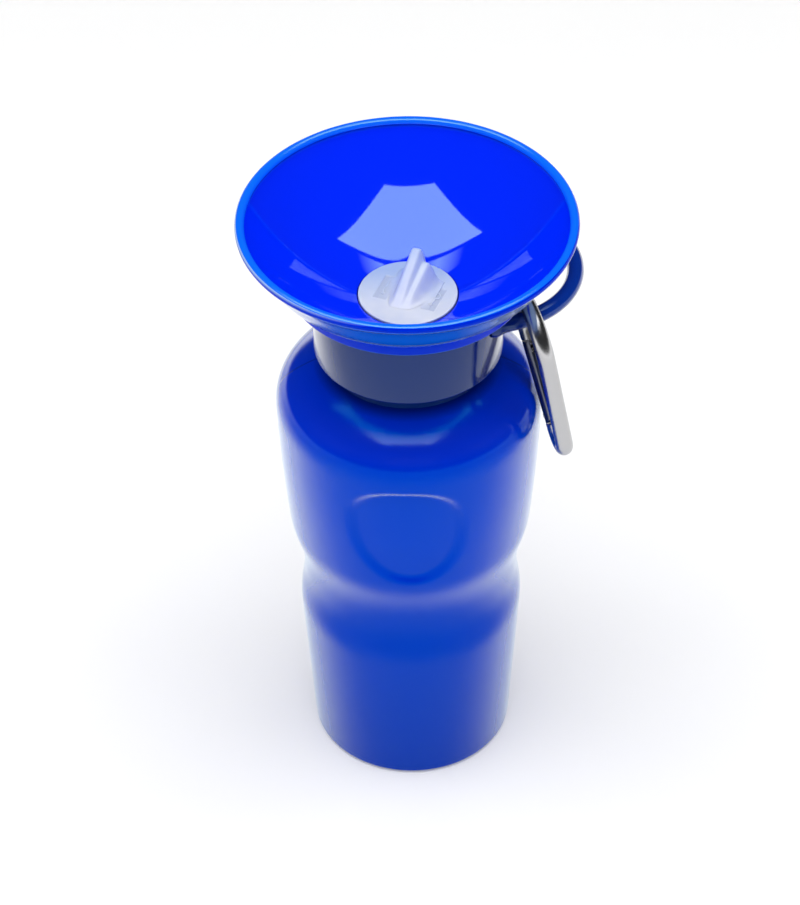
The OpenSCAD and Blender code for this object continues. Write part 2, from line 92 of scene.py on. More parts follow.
def softened(line, reach):
    # a line smoothed by a bell-shaped average over its neighbours, its two ends kept
    pad = 3 * reach
    k = np.exp(-0.5 * (np.arange(-pad, pad + 1) / reach) ** 2)
    k /= k.sum()
    out = line.copy()
    for c in range(line.shape[1]):
        before = 2 * line[0, c] - line[pad:0:-1, c]
        after = 2 * line[-1, c] - line[-2:-pad - 2:-1, c]
        out[:, c] = np.convolve(np.r_[before, line[:, c], after], k, "valid")
    out[0], out[-1] = line[0], line[-1]
    return out


def rounded(corners, radius, count=5):
    # a closed outline whose corners become parabolas between a and b, points on the corner's two sides:
    # (1 - t) squared times a, plus 2 t (1 - t) times the corner, plus t squared times b
    n = len(corners)
    out = []
    for i in range(n):
        before, here, after = corners[i - 1], corners[i], corners[(i + 1) % n]
        r = radius[i] if np.ndim(radius) else radius
        a = between(here, before, min(0.49, r / np.hypot(*(before - here))))
        b = between(here, after, min(0.49, r / np.hypot(*(after - here))))
        t = np.linspace(0, 1, count)[:, None]
        out.append((1 - t) ** 2 * a + 2 * t * (1 - t) * here + t ** 2 * b)
    return np.concatenate(out)


def tube(path, radius, steps, up=(0.0, 0.0, 1.0)):
    # a round section carried along a path: centre + radius (side cos a + lift sin a)
    tangent = np.gradient(path, axis=0)
    tangent /= np.linalg.norm(tangent, axis=1, keepdims=True)
    side = np.cross(tangent, up)
    side /= np.linalg.norm(side, axis=1, keepdims=True)
    lift = np.cross(side, tangent)
    a = np.arange(steps)[:, None] * tau / steps
    ring = side[:, None] * np.cos(a) + lift[:, None] * np.sin(a)
    points = (path[:, None] + radius[:, None, None] * ring).reshape(-1, 3)
    return points, outward(points, gridFaces(len(path), steps))


def threadRidge(wallR, thread, side=1, start=0.0):
    # four points per station on a helix: root, crest, crest, root; side is 1 on an outer wall, -1 in a bore.
    # The ridge has least of its height at its ends, and is full 1 / rise of a turn from them
    perTurn, rise, least = 48, 9, 0.05
    turns, wide = thread["turns"], thread["wide"]
    root, full = wallR - side * thread["sink"], wallR + side * thread["out"]
    n = int(turns * perTurn)
    t = np.linspace(0, 1, n)
    a = tau * turns * t + math.radians(start)
    z = thread["low"] + thread["lead"] * turns * t
    crest = between(root, full, np.clip(np.minimum(t, 1 - t) * turns * rise, least, 1))
    r = np.stack([root + 0 * t, crest, crest, root + 0 * t], 1)
    h = np.stack([z - wide / 2, z - wide / 4, z + wide / 4, z + wide / 2], 1)
    points = np.stack([r * np.cos(a)[:, None], r * np.sin(a)[:, None], h], -1).reshape(-1, 3)
    last = 4 * (n - 1)
    caps = np.array([[3, 2, 1, 0], [last, last + 1, last + 2, last + 3]])
    return points, outward(points, np.concatenate([gridFaces(n, 4), caps]))


def mergePoints(mesh, reach, sliver=None):
    # points closer than the reach become one, which closes seams and poles, and edges under the sliver go
    bm = bmesh.new()
    bm.from_mesh(mesh)
    bmesh.ops.remove_doubles(bm, verts=bm.verts, dist=reach)
    if sliver:
        bmesh.ops.dissolve_degenerate(bm, edges=bm.edges, dist=sliver)
    bm.to_mesh(mesh)
    bm.free()


def makePiece(name, shells, body, nodes, material, sharpDeg=40):
    # closed shells, each with its points and faces, put into one mesh
    points, faces, base = [], [], 0
    for shellPoints, shellFaces in shells:
        points.append(shellPoints)
        if isinstance(shellFaces, list):
            faces += [[i + base for i in face] for face in shellFaces]
        else:
            faces += (shellFaces + base).tolist()
        base += len(shellPoints)
    mesh = bpy.data.meshes.new(name)
    mesh.from_pydata((np.concatenate(points) * mm).tolist(), [], faces)
    mergePoints(mesh, reach=2e-7, sliver=1e-8)
    return dress(mesh, name, body, nodes, material, sharpDeg)


def smoothCopy(node, name, body, material, sharpDeg=30):
    # the CAD node's own shape with its triangles merged and its round faces shaded smooth
    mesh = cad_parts[node].data.copy()
    mesh.name = name
    mergePoints(mesh, reach=2e-6)
    return dress(mesh, name, body, [node], material, sharpDeg)


def dress(mesh, name, body, nodes, material, sharpDeg):
    mesh.polygons.foreach_set("use_smooth", np.ones(len(mesh.polygons), bool))
    mesh.set_sharp_from_angle(angle=math.radians(sharpDeg))
    mesh.materials.clear()
    mesh.materials.append(material)
    piece = bpy.data.objects.new(name, mesh)
    bpy.context.scene.collection.objects.link(piece)
    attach(piece, body)
    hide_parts(*nodes)
    return piece


def secondFinish(piece, material, chosen):
    # faces picked by their centre and direction take a second finish
    mesh = piece.data
    mesh.materials.append(material)
    centre, way = np.empty(3 * len(mesh.polygons)), np.empty(3 * len(mesh.polygons))
    mesh.polygons.foreach_get("center", centre)
    mesh.polygons.foreach_get("normal", way)
    picked = chosen(centre.reshape(-1, 3), way.reshape(-1, 3))
    mesh.polygons.foreach_set("material_index", picked.astype(np.int32))


def srgb(r, g, b):
    # screen colour 0..255 to linear light
    c = np.array([r, g, b]) / 255
    return tuple(np.where(c <= 0.04045, c / 12.92, ((c + 0.055) / 1.055) ** 2.4)) + (1.0,)


def setSockets(node, values):
    for label, value in values.items():
        node.inputs[label].default_value = value


def feed(link, socket, value):
    # a plain number is set on the socket, and anything else is linked to it
    if isinstance(value, (int, float)):
        socket.default_value = value
    else:
        link(value, socket)


def mathNode(n, link, kind, *values, clamp=False):
    node = n.new("ShaderNodeMath")
    node.operation, node.use_clamp = kind, clamp
    for socket, value in zip(node.inputs, values):
        feed(link, socket, value)
    return node.outputs[0]


def ramp(n, link, value, zero, one):
    # 0 where the value is at zero and 1 where it is at one: (value - zero) / (one - zero), clamped
    return mathNode(n, link, "MULTIPLY_ADD", value, 1 / (one - zero), -zero / (one - zero), clamp=True)


def axisOf(n, link, kind, axis):
    # one axis of the place on the piece, or of the way its face looks
    place, split = n.new("ShaderNodeTexCoord"), n.new("ShaderNodeSeparateXYZ")
    link(place.outputs[kind], split.inputs[0])
    return split.outputs[axis]


def fineGrainGroup():
    # moulded or blasted skin: fine noise gives the height, a coarser one the uneven gloss
    group = bpy.data.node_groups.new("fineGrain", "ShaderNodeTree")
    face = group.interface
    for label, value in (("Grain Scale", 900.0), ("Roughness", 0.3), ("Spread", 0.06)):
        face.new_socket(label, in_out="INPUT", socket_type="NodeSocketFloat").default_value = value
    for label in ("Roughness", "Height"):
        face.new_socket(label, in_out="OUTPUT", socket_type="NodeSocketFloat")
    n, link = group.nodes, group.links.new
    ins, outs, place = n.new("NodeGroupInput"), n.new("NodeGroupOutput"), n.new("ShaderNodeTexCoord")
    grain, patch = n.new("ShaderNodeTexNoise"), n.new("ShaderNodeTexNoise")
    setSockets(grain, {"Detail": 2})
    setSockets(patch, {"Detail": 3, "Scale": 30})
    link(place.outputs["Object"], grain.inputs["Vector"])
    link(place.outputs["Object"], patch.inputs["Vector"])
    link(ins.outputs["Grain Scale"], grain.inputs["Scale"])
    link(grain.outputs["Fac"], outs.inputs["Height"])
    uneven = mathNode(n, link, "SUBTRACT", patch.outputs["Fac"], 0.5)
    gloss = mathNode(n, link, "MULTIPLY_ADD", uneven, ins.outputs["Spread"], ins.outputs["Roughness"])
    link(gloss, outs.inputs["Roughness"])
    return group


fineGrain = fineGrainGroup()


def finish(name, color, roughness, metallic=0.0, specular=0.5, tint=(1, 1, 1),
           grain=900, bump=0.00002, spread=0.05, fixed=None, extra=None):
    # grain is the skin's fineness, bump its height in metres and spread how far the roughness wanders;
    # fixed sets more of the shader's sockets, and extra adds the finish's own nodes
    mat = bpy.data.materials.new(name)
    mat.use_nodes = True
    n, link = mat.node_tree.nodes, mat.node_tree.links.new
    shader, skin, relief = n["Principled BSDF"], n.new("ShaderNodeGroup"), n.new("ShaderNodeBump")
    setSockets(shader, {
        "Base Color": color, "Metallic": metallic, "Specular IOR Level": specular,
        "Specular Tint": tint + (1,), "Coat IOR": 1.6, "Coat Roughness": 0.2, **(fixed or {}),
    })
    skin.node_tree = fineGrain
    setSockets(skin, {"Grain Scale": grain, "Roughness": roughness, "Spread": spread})
    setSockets(relief, {"Strength": 1.0, "Distance": bump})
    link(skin.outputs["Roughness"], shader.inputs["Roughness"])
    link(skin.outputs["Height"], relief.inputs["Height"])
    link(relief.outputs["Normal"], shader.inputs["Normal"])
    if extra:
        extra(n, link, shader)
    return mat


def tinted(n, link, shader, source, low, high, tint):
    # the skin's colour moves to the tint as the source value goes from low to high
    mask, mix = n.new("ShaderNodeMapRange"), n.new("ShaderNodeMix")
    setSockets(mask, {"From Min": low, "From Max": high})
    mix.data_type = "RGBA"
    before, after, mixed = mix.inputs[6], mix.inputs[7], mix.outputs[2]
    link(source, mask.inputs["Value"])
    link(mask.outputs["Result"], mix.inputs["Factor"])
    after.default_value = srgb(*tint)
    skin = shader.inputs["Base Color"]
    if skin.is_linked:
        link(skin.links[0].from_socket, before)
    else:
        before.default_value = skin.default_value
    link(mixed, skin)


def tintedAlong(n, link, shader, rows):
    # each row: coordinates and axis, the values where the tint starts and is full, and the tint
    for kind, axis, low, high, tint in rows:
        tinted(n, link, shader, axisOf(n, link, kind, axis), low, high, tint)


def edgeGloss(n, link, shader, low, high, also=0.0):
    # a clear skin that shows at a slant, so the sides pale where they turn away, or where also says so
    slant, mask = n.new("ShaderNodeLayerWeight"), n.new("ShaderNodeMapRange")
    setSockets(slant, {"Blend": 0.5})
    setSockets(mask, {"From Min": low, "From Max": high})
    mask.interpolation_type = "SMOOTHSTEP"
    link(slant.outputs["Facing"], mask.inputs["Value"])
    link(mathNode(n, link, "MAXIMUM", mask.outputs["Result"], also), shader.inputs["Coat Weight"])


# lengths in the finishes are in metres, as Object coordinates are
bottleLook = {
    "tints": [
        ("Normal", "Z", 0.45, 0.1, (0, 58, 203)),  # upright walls are lit by the pale floor
        ("Object", "Z", 0.12, 0.0, (0, 44, 172)),  # painted shade: darker towards the foot, where less light reaches
        ("Object", "Z", 0.1665, 0.1690, (0, 14, 92)),  # the neck stands in the cap's shade
    ],
    # the groove's tint is painted shade
    "grooveHalf": 0.00035, "grooveDeep": 1.2, "grooveShadeTint": (0, 22, 110),
    "slant": (0.39, 0.72),
    "glossBand": (0.1565, 0.1590, 0.1620, 0.1645), "glossMost": 0.5,
    "fixed": {
        "IOR": 1.2, "Coat Roughness": 0.12,
        "Sheen Weight": 0.2, "Sheen Roughness": 0.4, "Sheen Tint": (0.0, 0.5, 0.6, 1),
    },
}


def bottleSkin(n, link, shader):
    s = bottleLook
    tintedAlong(n, link, shader, s["tints"])
    # the parting line is a thin groove along y = 0: height = grain - depth (1 - |y| / half width)
    fromLine = mathNode(n, link, "ABSOLUTE", axisOf(n, link, "Object", "Y"))
    groove = ramp(n, link, fromLine, s["grooveHalf"], 0.0)
    # painted shade: the groove is tinted darker, as if shade lay in it
    tinted(n, link, shader, groove, 0.0, 1.0, s["grooveShadeTint"])
    height = n["Bump"].inputs["Height"]
    grain = height.links[0].from_socket
    link(mathNode(n, link, "MULTIPLY_ADD", groove, -s["grooveDeep"], grain), height)
    # the shoulder's rounding is glossier, so the lamp glints there: a ramp up times a ramp down
    start, full, last, end = s["glossBand"]
    z = axisOf(n, link, "Object", "Z")
    band = mathNode(n, link, "MULTIPLY", ramp(n, link, z, start, full), ramp(n, link, z, end, last))
    edgeGloss(n, link, shader, *s["slant"], also=mathNode(n, link, "MULTIPLY", band, s["glossMost"]))


bowlLook = {
    "rim": [("Object", "Z", 0.2236, 0.2256, (10, 104, 250))],
    "outside": [("Normal", "Z", -0.15, -0.45, (4, 92, 206))],
    # pale is a painted reflection of the floor on the underside
    "pale": (-0.008, -0.028, (150, 178, 228)), "slant": (0.62, 0.85),
}


def bowlSkin(n, link, shader):
    # thin plastic lets light through near the rim
    tintedAlong(n, link, shader, bowlLook["rim"])


def bowlOuterSkin(n, link, shader):
    # the wall's underside is lit through from the dish
    tintedAlong(n, link, shader, bowlLook["outside"])
    # painted reflection, paler towards the loop: the mask is how far the face looks down times how far right
    # it is
    right = mathNode(n, link, "MULTIPLY", axisOf(n, link, "Normal", "Z"), axisOf(n, link, "Object", "X"))
    tinted(n, link, shader, right, *bowlLook["pale"])
    edgeGloss(n, link, shader, *bowlLook["slant"])


collarLook = {"loop": [("Object", "X", 0.036, 0.046, (8, 48, 146))], "slant": (0.42, 0.75)}


def collarSkin(n, link, shader):
    # the loop stands in the light, so its blue is fresher than the collar's
    tintedAlong(n, link, shader, collarLook["loop"])
    edgeGloss(n, link, shader, *collarLook["slant"])


dialLook = {
    "cloudScale": 90, "cloud": (0.35, 0.75, (200, 208, 222)),
    "tints": [
        ("Object", "Y", -0.006, 0.012, (164, 186, 220)),  # painted light: at the back more of the bowl's blue shows through
        ("Object", "Z", 0.1954, 0.1950, (176, 186, 206)),  # painted shade: the sunk panels are a little greyer
    ],
    "fixed": {"Subsurface Weight": 0.5, "Subsurface Radius": (0.005, 0.005, 0.005)},
}


def dialSkin(n, link, shader):
    # milky clouds, and then the tints
    cloud, place = n.new("ShaderNodeTexNoise"), n.new("ShaderNodeTexCoord")
    setSockets(cloud, {"Scale": dialLook["cloudScale"]})
    link(place.outputs["Object"], cloud.inputs["Vector"])
    tinted(n, link, shader, cloud.outputs["Fac"], *dialLook["cloud"])
    tintedAlong(n, link, shader, dialLook["tints"])


bottleBlue = finish("bottleSatinBlue", srgb(0, 44, 200), 0.1, specular=1.0, tint=(0.0, 0.8, 1.0),
                    grain=1400, bump=0.00003, fixed=bottleLook["fixed"], extra=bottleSkin)
bowlBlue = finish("bowlGlossBlue", srgb(0, 40, 242), 0.04, specular=1.0, tint=(0.62, 1.0, 1.0),
                  grain=300, bump=0.000002, spread=0.02, extra=bowlSkin)
# painted shade: the outside faces take a darker copy of the bowl's blue, and bowlOuterSkin paints light on
# them
bowlOuterBlue = finish("bowlOuterBlue", srgb(0, 36, 205), 0.1, specular=1.0, tint=(0.0, 0.7, 1.0),
                       grain=300, bump=0.000002, spread=0.03, fixed={"IOR": 1.2}, extra=bowlOuterSkin)
# painted shade: the collar takes the bowl's blue darkened, for the shade it stands in under the bowl
collarBlue = finish("collarShadedBlue", srgb(2, 28, 108), 0.08, tint=(0.6, 0.9, 1.0),
                    grain=300, bump=0.000002, spread=0.03, extra=collarSkin)
dialWhite = finish("dialTranslucent", srgb(220, 224, 228), 0.22, bump=0.00001,
                   fixed=dialLook["fixed"], extra=dialSkin)
innerWhite = finish("innerWhitePlastic", srgb(232, 233, 236), 0.4)
sealPale = finish("sealSilicone", srgb(196, 202, 210), 0.65, specular=0.3, bump=0.00004)
gateSteel = finish("gateDarkSteel", (0.16, 0.17, 0.21, 1), 0.34, metallic=1.0,
                   grain=2200, bump=0.000008)
metalSatin = finish("carabinerSatin", (0.5, 0.5, 0.51, 1), 0.26, metallic=1.0,
                    grain=2200, bump=0.000008)
steelPin = finish("pinSteel", (0.5, 0.5, 0.52, 1), 0.35, metallic=1.0, grain=1800, bump=0.00001)
print("finishes ready")


bottle = {
    "footR": 35.4, "footRound": 1.5, "footLand": 3.0, "baseRise": 3.5, "underGap": 1.0, "underSoft": 2,
    "lowerR": 39.1, "lowerTop": 61.0, "waistR": 37.4, "waistZ": 74.0,
    "gripR": 42.0, "gripZ": 101.0, "gripLate": 1.5, "shoulderR": 45.2, "sideZ": 150.5, "swell": 0.35,
    "shoulderRound": 14.0, "shoulderSlope": 30.0, "slopeSwell": 0.4, "gap": 0.6, "soften": 4,
    "neckR": 27.6, "boreR": 25.2, "neckZ": 168.744, "neckRise": 1.0, "lipZ": 191.144, "lipEdge": 0.4,
    "beadLift": 3.2, "beadOut": 1.2, "beadH": 1.6, "beadRound": 0.5,
    "wall": 1.2, "wallEvery": 6, "cornerR": 2.0, "steps": 200,
    # the dimple, on faces to the front and back outside dimpleMinR; the powers square its outline above and
    # below its middle
    "dimpleW": 38.0, "dimpleUp": 17.2, "dimpleDown": 25.8, "dimpleMid": 128.3, "dimpleDepth": 1.6,
    "dimpleLean": 2.2, "dimplePowers": (2.5, 2.1), "dimpleEnd": 1.06, "dimpleEase": 0.16,
    "dimpleFace": 0.6, "dimpleMinR": 30.0,
    "thread": {"sink": 0.4, "out": 1.6, "wide": 2.4, "lead": 5.0, "turns": 1.3, "low": 179.044},
}


def bottleSide(s):
    # foot arc, straight lower side, eased waist, eased grip, swelling side, shoulder arc and a faintly
    # swelling slope to the neck
    t = np.linspace(0, 1, 60)
    bulge, tilt = np.sin(math.pi * t), math.radians(s["shoulderSlope"])
    foot = arc(s["footR"] - s["footRound"], s["footRound"], s["footRound"], -90, 0, 8)
    radii = [
        between(s["footR"], s["lowerR"], t),
        between(s["lowerR"], s["waistR"], eased(t)),
        between(s["waistR"], s["gripR"], eased(t ** s["gripLate"])),
        between(s["gripR"], s["shoulderR"], t) + s["swell"] * bulge,
    ]
    levels = [s["footRound"], s["lowerTop"], s["waistZ"], s["gripZ"], s["sideZ"]]
    parts = [np.stack([r, between(low, top, t)], 1) for r, low, top in zip(radii, levels, levels[1:])]
    bend = s["shoulderRound"]
    shoulder = arc(s["shoulderR"] - bend, s["sideZ"], bend, 0, 90 - s["shoulderSlope"], 40)
    slope = between(shoulder[-1], np.array([s["neckR"], s["neckZ"]]), t[:, None])
    slope += s["slopeSwell"] * bulge[:, None] * [math.sin(tilt), math.cos(tilt)]
    parts += [shoulder, slope]
    up = np.concatenate([parts[0]] + [part[1:] for part in parts[1:]])
    return foot, softened(evenly(up, s["gap"]), s["soften"])


def dimpled(points, s):
    # inside a shield outline on the front and back the wall is set in by the depth, easing at the edge:
    # reach = (|across / half width| to a power + |up / half height| to it), to one over that power
    x, y, z = points.T
    dz = z - s["dimpleMid"]
    up = dz > 0
    power = np.where(up, *s["dimplePowers"])
    lean = s["dimpleLean"] * np.sign(y) * (dz + s["dimpleDown"]) / (s["dimpleUp"] + s["dimpleDown"])
    across = np.abs(x - lean) / (s["dimpleW"] / 2)
    upright = np.abs(dz) / np.where(up, s["dimpleUp"], s["dimpleDown"])
    reach = (across ** power + upright ** power) ** (1 / power)
    depth = s["dimpleDepth"] * eased(np.clip((s["dimpleEnd"] - reach) / s["dimpleEase"], 0, 1))
    r = np.hypot(x, y)
    pressed = (np.abs(y) > s["dimpleFace"] * r) & (r > s["dimpleMinR"])
    k = np.where(pressed, 1 - depth / np.maximum(r, 1), 1)
    return np.stack([x * k, y * k, z], 1)


def bottleShells(s):
    # one closed section: under the foot, up the side, over the lip, down inside and along the floor
    foot, up = bottleSide(s)
    neckR, boreR, neckZ, lipZ, edge = (s[k] for k in ("neckR", "boreR", "neckZ", "lipZ", "lipEdge"))
    footIn, rise = s["footR"] - s["footRound"] - s["footLand"], s["baseRise"]
    under = np.array([[0, rise], [footIn - 2 * rise, rise], [footIn, 0], [foot[0, 0], 0]])
    under = softened(evenly(under, s["underGap"]), s["underSoft"])
    under[:, 1] = np.maximum(under[:, 1], 0)
    lip = [[neckR, lipZ - edge], [neckR - edge, lipZ], [boreR + edge, lipZ], [boreR, lipZ - edge]]
    # the inner wall is the side moved in by the wall's thickness, square to it
    sparse = up[::s["wallEvery"]]
    slope = np.gradient(sparse, axis=0)
    slope /= np.linalg.norm(slope, axis=1, keepdims=True)
    inside = sparse + s["wall"] * np.stack([-slope[:, 1], slope[:, 0]], 1)
    floorZ, corner = rise + s["wall"], s["cornerR"]
    inside = inside[(inside[:, 1] > floorZ + corner) & (inside[:, 0] > boreR)][::-1]
    wallR, bend = inside[-1, 0], 0.3 * corner  # a round corner's middle lies 0.3 of its radius in
    floor = [[wallR - bend, floorZ + bend], [wallR - corner, floorZ], [0, floorZ]]
    neck, bore = [[neckR, neckZ + s["neckRise"]]], [[boreR, neckZ]]
    section = np.concatenate([under, foot[1:], up[1:], neck, lip, bore, inside, floor])
    points, faces = turned(section, s["steps"])
    beadR, beadLow = neckR + s["beadOut"], neckZ + s["beadLift"]
    beadTop = beadLow + s["beadH"]
    bead = np.array([[neckR, beadLow], [beadR, beadLow], [beadR, beadTop], [neckR, beadTop]])
    ring = turned(rounded(bead, s["beadRound"]), s["steps"])
    return [(dimpled(points, s), faces), ring, threadRidge(neckR, s["thread"])]


makePiece("bottleShell", bottleShells(bottle), "bottle", ["bottle"], bottleBlue)
print("bottle made")


collar = {
    "r": 31.65, "innerR": 29.85, "low": 173.844, "deckZ": 192.644, "deckTop": 194.844, "holeR": 22.38,
    "rimIn": 29.35, "rimTop": 198.392, "edge": 0.7, "innerEdge": 0.4, "deckEdge": 0.2, "steps": 256,
    "loopX": 26.8293, "loopY": 16.1207, "loopZ": 192.244, "loopR": 29.3, "dir": 31.0, "half": 122.18,
    # the loop's rod is thicker by the flare up to flareFull from its ends, and thins over flareFade
    "rodR": 2.85, "flare": 1.6, "flareFull": 2.5, "flareFade": 2.2, "flarePower": 1.4,
    "loopPoints": 120, "loopSteps": 40,
    "thread": {"sink": 0.4, "out": 1.6, "wide": 2.4, "lead": 5.0, "turns": 1.3, "low": 176.544},
}


def collarShells(s):
    corners = np.array([
        [s["innerR"], s["low"]], [s["r"], s["low"]], [s["r"], s["rimTop"]], [s["rimIn"], s["rimTop"]],
        [s["rimIn"], s["deckTop"]], [s["holeR"], s["deckTop"]],
        [s["holeR"], s["deckZ"]], [s["innerR"], s["deckZ"]],
    ])
    edges = [s["innerEdge"], s["edge"], s["edge"], s["innerEdge"]] + 4 * [s["deckEdge"]]
    body = turned(rounded(corners, edges), s["steps"])
    # the loop's rod follows a circle, and thickens where it runs into the collar
    t = np.linspace(-1, 1, s["loopPoints"])
    a, loopR = np.radians(s["dir"] + s["half"] * t), s["loopR"]
    x, y = s["loopX"] + loopR * np.cos(a), s["loopY"] + loopR * np.sin(a)
    path = np.stack([x, y, np.full(len(t), s["loopZ"])], 1)
    fromEnd = (1 - np.abs(t)) * math.radians(s["half"]) * loopR
    past = ((fromEnd - s["flareFull"]) / s["flareFade"]).clip(0)
    radius = s["rodR"] + s["flare"] * np.exp(-past ** s["flarePower"])
    radius[[0, -1]] = 0
    return [body, tube(path, radius, s["loopSteps"]), threadRidge(s["innerR"], s["thread"], side=-1)]


makePiece("collarAndLoop", collarShells(collar), "cap", ["collar"], collarBlue)
print("collar made")


bowl = {
    # the rolled rim, from and to these angles, and the dish's arc between two slopes
    "beadR": 54.4, "beadZ": 225.22, "bead": 1.6, "beadFrom": 205.0, "beadTo": -78.0,
    "dishX": -19.903, "dishRound": 90.484, "dishMid": 277.506, "low": 24.0, "high": 54.0,
    # the outer wall is thick as far as slope thinFrom, and thins to the rim over thinOver degrees
    "wall": 2.2, "outer": 3.2, "rimWall": 1.5, "thinFrom": 44.0, "thinOver": 9.0, "wallBelow": 0.6,
    "skirtR": 40.0, "skirtZ": 201.844, "hem": 0.6, "wellR": 16.9, "wellOut": 18.9, "dishZ": 194.844,
    "wellEdge": 0.25, "floorLow": 190.044, "floorTop": 192.244, "spigotLow": 185.644,
    "snapZ": 187.244, "snapHalf": 0.8, "snapOut": 0.4,
    "bossBore": 5.0, "bossR": 7.2, "bossLow": 183.044,
    "seatIn": 26.75, "seatOut": 29.15, "deckTop": 194.844, "steps": 256,
    "upMost": 0.72,  # outside faces that look up more than this keep the inner finish
    "thread": {"sink": 0.4, "out": 1.25, "wide": 1.7, "lead": 8.0, "turns": 0.6, "low": 185.544},
}


def dishPoints(s, slopeDeg, t):
    # points of the dish's arc at some slopes, set out by t below its face
    a, r = np.radians(slopeDeg), s["dishRound"] + t
    return np.stack([s["dishX"] + r * np.sin(a), s["dishMid"] - r * np.cos(a)], -1)


def underPoints(s, fromR, toR, count):
    # points of the dish's underside between two radii
    r = np.linspace(fromR, toR, count)
    drop = np.sqrt((s["dishRound"] + s["wall"]) ** 2 - (r - s["dishX"]) ** 2)
    return np.stack([r, s["dishMid"] - drop], 1)


def wallThick(s, slopeDeg):
    # the wall thins towards the rim, so the rolled bead stands a little proud of it
    t = np.clip((slopeDeg - s["thinFrom"]) / s["thinOver"], 0, 1)
    return between(s["outer"], s["rimWall"], eased(t))


def bowlSection(s):
    dish = dishPoints(s, np.linspace(s["low"], s["high"], 60), 0)
    roll = arc(s["beadR"], s["beadZ"], s["bead"], s["beadFrom"], s["beadTo"], 26)
    # the outer wall runs parallel to the dish, down to the skirt that hangs from it
    skirtSlope = math.degrees(math.asin((s["skirtR"] - s["dishX"]) / (s["dishRound"] + s["outer"])))
    slopes = np.linspace(s["high"] - s["wallBelow"], skirtSlope, 50)
    wall = dishPoints(s, slopes, wallThick(s, slopes))
    hemR, skirtIn = s["hem"], s["skirtR"] - s["wall"]
    hem = arc(s["skirtR"] - hemR, s["skirtZ"] + hemR, hemR, 0, -180, 9)
    inside = [[skirtIn, s["skirtZ"] + hemR]]
    back = underPoints(s, skirtIn, s["seatOut"], 12)
    seat = [[s["seatOut"], s["deckTop"]], [s["seatIn"], s["deckTop"]]]
    more = underPoints(s, s["seatIn"], s["wellOut"], 8)
    wellR, wellOut, snapZ, half = s["wellR"], s["wellOut"], s["snapZ"], s["snapHalf"]
    spigot = [[wellOut, snapZ + half], [wellOut + s["snapOut"], snapZ], [wellOut, snapZ - half],
              [wellOut, s["spigotLow"]], [wellR, s["spigotLow"]], [wellR, s["floorLow"]]]
    bore, bossR, bossLow = s["bossBore"], s["bossR"], s["bossLow"]
    boss = [[bossR, s["floorLow"]], [bossR, bossLow], [bore, bossLow], [bore, s["floorTop"]]]
    well = [[wellR, s["floorTop"]], [wellR, s["dishZ"] - s["wellEdge"]]]
    return np.concatenate([dish, roll, wall, hem, inside, back, seat, more, spigot, boss, well])


def bowlShells(s):
    ridges = [threadRidge(s["bossBore"], s["thread"], side=-1, start=180.0 * i) for i in range(2)]
    return [turned(bowlSection(s), s["steps"])] + ridges


def outsideFaces(centre, way):
    # faces that look away from the axis, and not much up, or down
    away = (centre[:, :2] * way[:, :2]).sum(1) > 0
    return (away & (way[:, 2] < bowl["upMost"])) | (way[:, 2] < 0)


bowlPiece = makePiece("bowlShell", bowlShells(bowl), "cap", ["bowl"], bowlBlue,
                      sharpDeg=38)
secondFinish(bowlPiece, bowlOuterBlue, outsideFaces)
print("bowl made")


dial = {
    "r": 16.5, "low": 193.494, "top": 195.444, "edge": 0.45, "underEdge": 0.3, "turn": -22.0,
    "rings": 150, "steps": 240,
    # each ridge of the fin: its back and front ends as (across, along), its height at the back, half width
    # and squareness
    "ridges": [((-0.4, 8.6), (-1.1, -9.4), 11.6, 2.75, 4.8), ((3.7, 6.9), (1.7, -9.2), 8.0, 2.4, 3.0)],
    "crestRound": 2.4, "crestPower": 1.05, "backDrop": 2.2, "backPower": 6,
    "wideBack": 1.08, "wideLess": 0.25,
    "finSink": 0.5, "finBase": 0.3, "finGain": 1.02,
    "finAcross": (-8.5, 9.5, 130), "finAlong": (-11.5, 11.6, 160),  # from, to and how many points
    # the panels: middle, width and height; the edge starts this far inside the outline and is this wide
    "panels": [(-7.9, 0.0, 4.6, 12.0), (9.3, 0.0, 4.6, 12.0)],
    "panelDepth": 0.35, "panelEdge": (0.25, 0.4), "flatEdge": 1.0,
    "markH": 0.32, "markSteps": 12, "ringR": 1.5, "ringUp": 1.8, "ringLine": 0.34,
    "barHalf": 1.8, "barUp": 2.0, "barLine": 0.38,
    "arrowR": 8.9, "arrowIn": 0.97, "arrowSweep": (-0.02, -0.42), "arrowLine": 0.28, "barb": (1.1, 0.8),
    "stemR": 3.3, "stemEnd": 178.944, "stemIn": 0.3, "stemUp": 0.2, "stemTop": 0.5, "stemSteps": 64,
    "grooveR": 2.6, "clipLow": 179.494, "clipTop": 180.794,
    "thread": {"sink": 0.4, "out": 1.3, "wide": 1.7, "lead": 8.0, "turns": 0.6, "low": 183.544},
}


def spin(points, deg):
    # turned about Z
    c, s = math.cos(math.radians(deg)), math.sin(math.radians(deg))
    return points @ np.array([[c, s, 0], [-s, c, 0], [0, 0, 1]])


